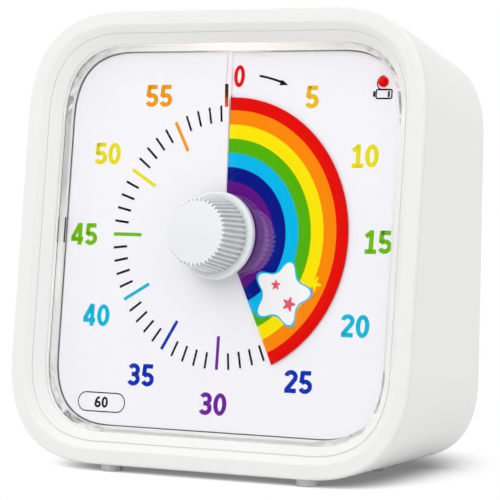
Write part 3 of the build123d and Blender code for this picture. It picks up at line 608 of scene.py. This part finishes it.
def add_slit_sheet(name, start, lead, thickness, radii_at, materials, body):
    """A thin sheet that makes one turn of the spiral from its slit. Each ring between two of its
    radii takes the next material, and the outer and slit edges take the last."""
    edge = len(materials) - 1
    vertices, faces, picks, rows = [], [], [], []
    for step in range(SHEET_STEPS + 1):
        turn = 360 * step / SHEET_STEPS
        angle = radians(turn + start)
        middle = spiral_height(turn) + lead
        radii = radii_at(angle)
        row = []
        for side in (-1, 1):
            for radius in radii:
                row.append(len(vertices))
                vertices.append((radius * sin(angle), radius * cos(angle), middle + side * thickness / 2))
        rows.append(row)
    count = len(rows[0]) // 2
    for low, high in zip(rows, rows[1:]):
        for i in range(count - 1):
            faces.append((low[i], low[i + 1], high[i + 1], high[i]))
            faces.append((low[count + i + 1], low[count + i], high[count + i], high[count + i + 1]))
            picks += [min(i, edge)] * 2
        faces.append((low[count], low[0], high[0], high[count]))
        faces.append((low[count - 1], low[-1], high[-1], high[count - 1]))
        picks += [edge, min(count - 2, edge)]
    for row, flip in ((rows[0], False), (rows[-1], True)):
        for i in range(count - 1):
            face = (row[i], row[count + i], row[count + i + 1], row[i + 1])
            faces.append(face[::-1] if flip else face)
            picks.append(edge)
    sheet = add_piece(name, vertices, faces, materials, body)
    sheet.data.polygons.foreach_set("material_index", picks)
    return sheet


card_path = window_path(CARD_INSET)
card = add_slit_sheet(
    "dial_card_sheet",
    SLIT_ANGLE,
    0.0,
    CARD_THICKNESS,
    lambda angle: [reach_at(card_path, angle)] + CARD_RINGS,
    [CARD_SHEET],
    "casing",
)
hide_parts("dial_card")


# ---------------------------------------------------------------- rainbow disc
BAND_INKS = ["red", "orange", "yellow", "green", "cyan", "navy", "purple"]
RED_BAND_INNER = 23.5           # the red band is a little narrower than the others
BAND_WIDTH = 2.63
inner_bands = [RED_BAND_INNER - BAND_WIDTH * i for i in range(len(BAND_INKS) - 1)]
disc_radii = [DISC_RADIUS] + inner_bands + [DISC_INNER_RADIUS]
disc = add_slit_sheet(
    "rainbow_disc_sheet",
    DISC_SETTING,
    DISC_LEAD,
    DISC_THICKNESS,
    lambda angle: disc_radii,
    [INKS[name] for name in BAND_INKS + ["black"]],
    "timer",
)
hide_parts("rainbow_disc")


# ---------------------------------------------------------------- dial print
NUMERALS = [
    ("0", 0.62, 29.9, "red"),
    ("5", 16.4, 26.0, "gold"),
    ("10", 28.0, 15.3, "lemon"),
    ("15", 31.8, -0.1, "leaf"),
    ("20", 28.35, -15.3, "turquoise"),
    ("25", 17.4, -25.85, "blue"),
    ("30", -0.3, -30.8, "violet"),
    ("35", -16.4, -26.2, "blue"),
    ("40", -27.2, -15.4, "turquoise"),
    ("45", -31.2, -0.15, "leaf"),
    ("50", -27.1, 15.2, "lemon"),
    ("55", -16.4, 26.2, "amber"),
]
NUMERAL_HEIGHT = 4.15
TICK_OUTER = 24.5
MINOR_TICK_INNER = 21.44
MAJOR_TICK_INNER = 18.3
MINOR_TICK_WIDTH = 0.45
MAJOR_TICK_WIDTH = 0.65
MINUTE_ANGLE = 6                # degrees

# Plain bold figures in a box 1 high and FIGURE_WIDTH wide: each is its strokes' centre lines.
FIGURE_WIDTH = 0.6
STROKE = 0.2
LOW, HIGH = STROKE / 2, 1 - STROKE / 2
FIGURES = {
    "1": [[(0.36, 0.0), (0.36, 1.0)], [(0.11, 0.72), (0.36, 0.9)], [(0.1, 0.07), (0.6, 0.07)]],
    "2": [arc(0.3, 0.7, 0.205, 0.205, 170, -38) + [(0.12, LOW + 0.03)], [(0.04, LOW), (0.56, LOW)]],
    "3": [
        arc(0.29, 0.71, 0.19, 0.195, 155, -90) + [(0.2, 0.515)],
        [(0.2, 0.515)] + arc(0.29, 0.305, 0.21, 0.212, 90, -155),
    ],
    "4": [
        [(0.42, 0.0), (0.42, 1.0)],
        [(0.4, 0.96), (0.07, 0.3)],
        [(0.0, 0.26), (0.58, 0.26)],
    ],
    "5": [
        [(0.13, HIGH), (0.53, HIGH)],
        [(0.16, 0.98), (0.125, 0.46)],
        arc(0.29, 0.31, 0.215, 0.217, 142, -155),
    ],
    "6": [[(0.47, HIGH), (0.33, 0.88), (0.2, 0.76), (0.12, 0.56), (0.095, 0.31)]],
}
FIGURE_RINGS = {"0": (0.5, 0.5), "6": (0.3, 0.3)}   # middle's height and half the height
FIGURE_PITCH = 0.66
FIGURE_STRETCH = 1.13           # the figures are drawn this much wider than their box
ZERO_STRETCH = 0.94             # the lone 0 is slimmer


def figure_ring(middle_y, half_y):
    """The closed round of a 0 or a 6."""
    half_x = FIGURE_WIDTH / 2
    outer = arc(half_x, middle_y, half_x, half_y, 0, 360, 40)[:-1]
    inner = arc(half_x, middle_y, half_x - STROKE, half_y - STROKE, 0, 360, 40)[:-1]
    return quads_between(outer, inner)


def add_numeral(name, text, x, y, height, ink):
    """A plain numeral, centred on a place, its film laid on the card."""
    across = height * (ZERO_STRETCH if text == "0" else FIGURE_STRETCH)
    left = -(FIGURE_PITCH * (len(text) - 1) + FIGURE_WIDTH) / 2
    outlines = []
    for i, figure in enumerate(text):
        shapes = [ribbon(line, STROKE) for line in FIGURES.get(figure, [])]
        if figure in FIGURE_RINGS:
            shapes += figure_ring(*FIGURE_RINGS[figure])
        shift = left + FIGURE_PITCH * i
        for shape in shapes:
            outlines.append([(x + (px + shift) * across, y + (py - 0.5) * height) for px, py in shape])
    add_print(name, outlines, ink)


def tick(minute, inner, width):
    return ribbon([on_dial(radius, MINUTE_ANGLE * minute) for radius in (inner, TICK_OUTER)], width)


for i, (text, x, y, ink) in enumerate(NUMERALS):
    add_numeral(f"numeral_{text}", text, x, y, NUMERAL_HEIGHT, ink)
    if i:                       # the zero mark stands for the tick at 0
        add_print(f"five_minute_tick_{text}", [tick(5 * i, MAJOR_TICK_INNER, MAJOR_TICK_WIDTH)], ink)
minor = [tick(m, MINOR_TICK_INNER, MINOR_TICK_WIDTH) for m in range(60) if m % 5]
add_print("minute_ticks", minor, "black")


# ---------------------------------------------------------------- marks beside the slit
# The zero mark lies on the lip left of the slit, and runs from brown to red.
ZERO_MARK = [(-1.67, 28.4), (-1.38, 24.1)]
ZERO_MARK_WIDTH = 0.75
ZERO_RED_BELOW, ZERO_BROWN_ABOVE = 24.6, 26.4
dial_height = DIAL_CENTRE.z / MM
blend_along_z(
    INKS["brown"], dial_height + ZERO_RED_BELOW, dial_height + ZERO_BROWN_ABOVE, "#E84810", "#481E04"
)
add_print("zero_mark", [ribbon(ZERO_MARK, ZERO_MARK_WIDTH)], "brown")

# A fine pale line carries it on to the window's top.
ZERO_LINE = [(-1.72, 28.6), (-1.76, 34.1)]
ZERO_LINE_WIDTH = 0.2
add_print("zero_line", [ribbon(ZERO_LINE, ZERO_LINE_WIDTH)], "beige")

# Past the disc the slit is closed by a white step between its two lips.
STEP_REACH = (DISC_RADIUS + 0.3, 34.3)
STEP_ANGLES = (SLIT_ANGLE + 0.05, SLIT_ANGLE + 0.25)
STEP_HEIGHTS = (-0.24, 0.38)
step_corners = [(*on_dial(r, a), z) for r in STEP_REACH for a in STEP_ANGLES for z in STEP_HEIGHTS]
step_faces = [(0, 1, 3, 2), (4, 6, 7, 5), (0, 4, 5, 1), (2, 3, 7, 6), (0, 2, 6, 4), (1, 5, 7, 3)]
add_piece("slit_step", step_corners, step_faces, [CARD_SHEET], "casing")

# A black line on the lip's edge where it stands over the disc: a painted shadow of the lip on the disc.
LIP_ANGLE = SLIT_ANGLE - 0.2
LIP_SHADOW_WIDTH = 0.13
lip_shadow_line = [on_dial(radius, LIP_ANGLE) for radius in (6.2, 12.0, 18.0, 25.6)]
add_print("lip_painted_shadow", [ribbon(lip_shadow_line, LIP_SHADOW_WIDTH)], "black")


# ---------------------------------------------------------------- signs on the dial
# Arrow that shows which way to turn the knob, over the first minutes.
ARROW_RADIUS = 30.35
ARROW_LINE_WIDTH = 0.42
ARROW_HEAD = [(11.2, 28.2), (9.75, 29.25), (9.3, 28.15)]
arrow_line = [on_dial(ARROW_RADIUS, angle) for angle in (9.4, 12, 14.5, 17, 19)]
add_print("arrow", [ribbon(arrow_line, ARROW_LINE_WIDTH), ARROW_HEAD], "black")

# Battery outline with one bar left, under the low-battery light.
BATTERY_CORNER, BATTERY_LINE_WIDTH = 0.45, 0.3
battery_outline = rounded_ring(29.45, 32.95, 25.55, 27.45, BATTERY_CORNER, BATTERY_LINE_WIDTH)
add_print("battery_outline", battery_outline, "black")
battery_bar, battery_cap = rectangle(31.95, 32.4, 25.95, 27.05), rectangle(28.95, 29.42, 26.0, 27.0)
add_print("battery_level", [battery_bar, battery_cap], "black")

# Painted shade: a dark crescent on the left of the hole for the low-battery light, standing in for the
# hole's shadow.
CRESCENT_RADIUS, CRESCENT_WIDTH = 1.28, 0.24
light = FACE.inverted() @ middle_of(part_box("low_battery_led")) / MM
crescent = arc(light.x, light.y, CRESCENT_RADIUS, CRESCENT_RADIUS, 85, 255, 32)
add_print("light_hole_painted_shade", [ribbon(crescent, CRESCENT_WIDTH)], "black")

# The timer's range in minutes, in a long round-ended frame.
RANGE_CORNER, RANGE_LINE_WIDTH, RANGE_HEIGHT = 1.87, 0.22, 2.1
range_frame = rounded_ring(-30.1, -19.45, -33.6, -29.85, RANGE_CORNER, RANGE_LINE_WIDTH)
add_print("range_label_frame", range_frame, "black")
add_numeral("range_label_60", "60", -24.8, -31.72, RANGE_HEIGHT, "black")


# ---------------------------------------------------------------- motif on the disc
STAR_POINTS = 5
STAR_OUTLINE_STEPS = 60
STAR_RINGS = 8
TIP_SHARPNESS = 1.6


def star(x, y, radius, waist, turn):
    """Outline of a star with rounded tips and soft inner corners; waist is their share of the
    radius."""
    outline = []
    for i in range(STAR_OUTLINE_STEPS):
        phase = 2 * pi * i / STAR_OUTLINE_STEPS
        swing = (1 + cos(STAR_POINTS * phase)) / 2
        r = radius * (waist + (1 - waist) * swing**TIP_SHARPNESS)
        outline.append((x + r * sin(phase + turn), y + r * cos(phase + turn)))
    return outline[::-1]


def add_star(name, x, y, radius, waist, turn, ink, layer):
    """A star's film in rings round its middle, fine enough to follow the disc's spiral."""
    outline = star(x, y, radius, waist, turn)
    count, rings = len(outline), STAR_RINGS
    points = [(x, y)]
    for ring in range(1, rings + 1):
        points += [(x + (px - x) * ring / rings, y + (py - y) * ring / rings) for px, py in outline]
    lift = INK_LIFT + MOTIF_LAYER * layer
    vertices = [(px, py, disc_front(px, py) + lift + h) for h in (0, INK_THICKNESS) for px, py in points]
    top = len(points)
    faces = []
    for i in range(count):
        j = (i + 1) % count
        faces += [(0, 1 + j, 1 + i), (top, top + 1 + i, top + 1 + j)]
        for ring in range(rings - 1):
            a, b = 1 + count * ring + i, 1 + count * ring + j
            faces += [(a, b, b + count, a + count), (top + a + count, top + b + count, top + b, top + a)]
        a, b = 1 + count * (rings - 1) + i, 1 + count * (rings - 1) + j
        faces.append((a, b, top + b, top + a))
    add_piece(name, vertices, faces, [INKS[ink]], "timer")


STAR_X, STAR_Y = 13.0, -10.1
add_star("star_rim", STAR_X, STAR_Y, 6.5, 0.66, 0.25, "cyan", 0)
add_star("star_face", STAR_X, STAR_Y, 6.0, 0.66, 0.25, "white", 1)
add_star("small_star_pink", STAR_X + 1.6, STAR_Y - 1.8, 1.4, 0.5, 0.3, "pink", 2)
add_star("small_star_pink_upper", STAR_X - 1.4, STAR_Y + 1.6, 1.0, 0.5, 0.0, "pink", 2)
add_star("small_star_yellow", 19.6, -8.0, 1.5, 0.45, 0.5, "yellow", 0)


# ---------------------------------------------------------------- painted shade in the gaps round the window
WINDOW_INSET = 7.2              # the wall beside the dial card
POCKET_INSET = 6.0              # the wall beside the clear cover
COVER_SEAT = 1.3
LINE_OFF = 0.004                # a line's back stands this far off its wall
LINE_THICKNESS = 0.016
CARD_GAP, COVER_GAP = 0.22, 0.14
CLIP_Y = (-1.9, 2.9)            # the clip's lower and upper end
CLIP_GAP_FROM, CLIP_GAP = 0.72, 0.42
CLIP_EDGE = 0.3


def add_painted_gap_shade(name, inset, low_at, height):
    """Painted shade: a thin dark strip on the window's wall that stands in for the shadow where two parts
    meet.
    """
    outer, inner = window_path(inset + LINE_OFF), window_path(inset + LINE_OFF + LINE_THICKNESS)
    vertices, faces = [], []
    for (x_out, y_out), (x_in, y_in) in zip(outer, inner):
        low = low_at(x_out, y_out)
        vertices += [(x_out, y_out, low), (x_in, y_in, low)]
        vertices += [(x_in, y_in, low + height), (x_out, y_out, low + height)]
    for first in range(0, len(vertices) - 4, 4):
        for i in range(4):
            j = (i + 1) % 4
            faces.append((first + i, first + j, first + 4 + j, first + 4 + i))
    last = len(vertices) - 4
    faces += [(3, 2, 1, 0), (last, last + 1, last + 2, last + 3)]
    add_piece(name, vertices, faces, [GAP_SHADE_PAINT], "casing")


def add_painted_clip_shade(name, wall_x, z, height):
    """Painted shade: a black strip half-way up the left wall, standing in for the shadow of a clip of the
    cover that snaps in there.
    """
    x_low, x_high = wall_x + 2 * LINE_THICKNESS, wall_x + 3 * LINE_THICKNESS
    section = [(x_low, z), (x_high, z), (x_high, z + height), (x_low, z + height)]
    corners = [(x, y, h) for y in CLIP_Y for x, h in section]
    faces = [(3, 2, 1, 0), (4, 5, 6, 7)] + [(i, (i + 1) % 4, (i + 1) % 4 + 4, i + 4) for i in range(4)]
    add_piece(name, corners, faces, [BLACK_ABS], "casing")


# Painted shade along the card's and the cover's edges, and at the cover's clip.
add_painted_gap_shade("card_gap_painted_shade", WINDOW_INSET, card_front, CARD_GAP)
add_painted_gap_shade("cover_gap_painted_shade", POCKET_INSET, lambda x, y: COVER_SEAT + 0.01, COVER_GAP)
add_painted_clip_shade("cover_clip_gap_painted_shade", WINDOW_INSET - FACE_HALF, CLIP_GAP_FROM, CLIP_GAP)
add_painted_clip_shade("cover_clip_edge_painted_shade", POCKET_INSET - FACE_HALF, COVER_SEAT + 0.02, CLIP_EDGE)


# ---------------------------------------------------------------- floor, light and camera
FLOOR_HALF = 4.0
LAMPS_SIDE = (0.1, -0.9, 0.35)
# The timer's shade on the paper is painted: an emission dimmed by ambient occlusion, not a shadow the lamps
# cast.
SHADE_REACH = (0.09, 0.2)       # the timer's shade on the paper fades out between these distances
SHADE_SIGHT = 0.04              # how far off the timer still shades a spot on the paper
SHADE_OPENNESS = (0.42, 0.72)   # shares of the lamps' side open where it is dimmest and white
DIMMEST = 0.2
MIRRORED_FLOOR_Y = (-0.6, -0.25)    # mirrored, the floor is dark in front of this stretch

ROOM_STRENGTH = 0.935
# A direction, and the angles off it at which the room is fully lit and fully dark, in degrees.
UNLIT_CORNER = ((-0.514, -0.841, 0.168), 32, 15)
DARK_FRONT = ((0.0, -0.985, 0.17), 55, 39)
LAMP_TARGET = (0, 0, 0.045)     # about the timer's middle


def make_floor():
    """Matt paper. Looked at, it shows a painted shadow round the timer, an emission dimmed by ambient
    occlusion, and further out it burns to plain white.
    """
    material, tree = start_material("matt_paper_sweep")
    path = add_node(tree, "ShaderNodeLightPath")
    place = add_node(tree, "ShaderNodeNewGeometry")
    distance = add_node(tree, "ShaderNodeVectorMath", {0: place.outputs["Position"]}, operation="LENGTH")
    far = add_node(
        tree,
        "ShaderNodeMapRange",
        {
            "Value": distance.outputs["Value"],
            "From Min": SHADE_REACH[0],
            "From Max": SHADE_REACH[1],
        },
        interpolation_type="SMOOTHSTEP",
    )
    paper = add_node(tree, "ShaderNodeBsdfDiffuse", {"Color": linear("#E3E3E3")})
    # Painted shadow: the sheet's emission is dim where the timer hides the lamps' side of it, and soon
    # white beyond that.
    lamp_side = add_node(tree, "ShaderNodeCombineXYZ", dict(zip("XYZ", LAMPS_SIDE)))
    sight = {"Distance": SHADE_SIGHT, "Normal": lamp_side.outputs["Vector"]}
    openness = add_node(tree, "ShaderNodeAmbientOcclusion", sight, samples=48)
    level = add_node(
        tree,
        "ShaderNodeMapRange",
        {
            "Value": openness.outputs["AO"],
            "From Min": SHADE_OPENNESS[0],
            "From Max": SHADE_OPENNESS[1],
            "To Min": DIMMEST,
        },
        interpolation_type="SMOOTHSTEP",
    )
    painted_shadow = add_node(tree, "ShaderNodeEmission", {"Color": level.outputs["Result"], "Strength": 1.0})
    # Looked at, it is white everywhere; mirrored, it darkens towards the room's dark side.
    directly = looked_at(tree, path)
    spot = add_node(tree, "ShaderNodeSeparateXYZ", {0: place.outputs["Position"]})
    near = add_node(
        tree,
        "ShaderNodeMapRange",
        {
            "Value": spot.outputs["Y"],
            "From Min": MIRRORED_FLOOR_Y[0],
            "From Max": MIRRORED_FLOOR_Y[1],
        },
        interpolation_type="SMOOTHSTEP",
    )
    levels = {0: directly, 1: near.outputs["Result"]}
    white_level = add_node(tree, "ShaderNodeMath", levels, operation="MAXIMUM")
    white = add_node(
        tree,
        "ShaderNodeEmission",
        {"Color": linear("#FFFFFF"), "Strength": white_level.outputs[0]},
    )
    seen = add_node(
        tree,
        "ShaderNodeMixShader",
        {0: far.outputs["Result"], 1: painted_shadow.outputs[0], 2: white.outputs[0]},
    )
    rays = {0: directly, 1: path.outputs["Is Glossy Ray"]}
    shows = add_node(tree, "ShaderNodeMath", rays, operation="MAXIMUM")
    shader = add_node(
        tree,
        "ShaderNodeMixShader",
        {0: shows.outputs[0], 1: paper.outputs[0], 2: seen.outputs[0]},
    )
    end_material(material, tree, shader)
    mesh = bpy.data.meshes.new("table")
    half = FLOOR_HALF
    corners = [(-half, -half, 0), (half, -half, 0), (half, half, 0), (-half, half, 0)]
    mesh.from_pydata(corners, [], [(0, 1, 2, 3)])
    mesh.materials.append(material)
    floor = bpy.data.objects.new("table", mesh)
    bpy.context.scene.collection.objects.link(floor)


def dark_towards(tree, direction, white_from, dark_to):
    """0 round a direction and 1 away from it, with a soft edge between two angles in degrees."""
    place = add_node(tree, "ShaderNodeTexCoord")
    towards = add_node(
        tree, "ShaderNodeVectorMath", {0: place.outputs["Generated"], 1: direction}, operation="DOT_PRODUCT"
    )
    edges = {"From Min": cos(radians(white_from)), "From Max": cos(radians(dark_to))}
    level = add_node(
        tree,
        "ShaderNodeMapRange",
        {"Value": towards.outputs["Value"], "To Min": 1.0, "To Max": 0.0, **edges},
        interpolation_type="SMOOTHSTEP",
    )
    return level.outputs["Result"]


def make_world():
    """A soft white room whose light comes from all but one corner. The clear cover mirrors its
    dark front, and anything else that shows it shows plain white."""
    world = bpy.data.worlds.new("studio")
    bpy.context.scene.world = world
    world.use_nodes = True
    tree = world.node_tree
    tree.nodes.clear()
    path = add_node(tree, "ShaderNodeLightPath")
    corner = dark_towards(tree, *UNLIT_CORNER)
    front = dark_towards(tree, *DARK_FRONT)
    lit = add_node(tree, "ShaderNodeMath", {0: corner, 1: ROOM_STRENGTH}, operation="MULTIPLY")
    room = add_node(
        tree, "ShaderNodeBackground", {"Color": linear("#FFFFFF"), "Strength": lit.outputs[0]}
    )
    directly = looked_at(tree, path)
    backdrop = add_node(tree, "ShaderNodeMath", {0: directly, 1: front}, operation="MAXIMUM")
    white = add_node(
        tree, "ShaderNodeBackground", {"Color": linear("#FFFFFF"), "Strength": backdrop.outputs[0]}
    )
    rays = {0: directly, 1: path.outputs["Is Glossy Ray"]}
    shows = add_node(tree, "ShaderNodeMath", rays, operation="MAXIMUM")
    shader = add_node(
        tree, "ShaderNodeMixShader", {0: shows.outputs[0], 1: room.outputs[0], 2: white.outputs[0]}
    )
    add_node(tree, "ShaderNodeOutputWorld", {"Surface": shader.outputs[0]})


def add_softbox(name, place, side, power):
    light = bpy.data.lights.new(name, "AREA")
    light.shape = "SQUARE"
    light.size = side
    light.energy = power
    lamp = bpy.data.objects.new(name, light)
    bpy.context.scene.collection.objects.link(lamp)
    lamp.location = place
    lamp.rotation_euler = (Vector(LAMP_TARGET) - Vector(place)).to_track_quat("-Z", "Y").to_euler()


make_floor()
make_world()
add_softbox("key_softbox", (-0.45, -0.35, 0.75), 0.5, 0.85)
add_softbox("front_fill", (0.0, -0.78, 0.5), 0.6, 1.75)

CAMERA_FROM_DIAL = Vector((274.956, -449.154, 24.246)) * MM
CAMERA_YAW = radians(30.981)
CAMERA_PITCH = radians(-2.894)
camera_data = bpy.data.cameras.new("camera")
camera_data.sensor_width = 36.0
camera_data.lens = 206.05
camera_data.clip_start = 0.01
camera = bpy.data.objects.new("camera", camera_data)
camera.location = DIAL_CENTRE + CAMERA_FROM_DIAL
camera.rotation_euler = (radians(90) + CAMERA_PITCH, 0, CAMERA_YAW)
bpy.context.scene.collection.objects.link(camera)
bpy.context.scene.camera = camera
bpy.context.scene.view_settings.view_transform = "Standard"
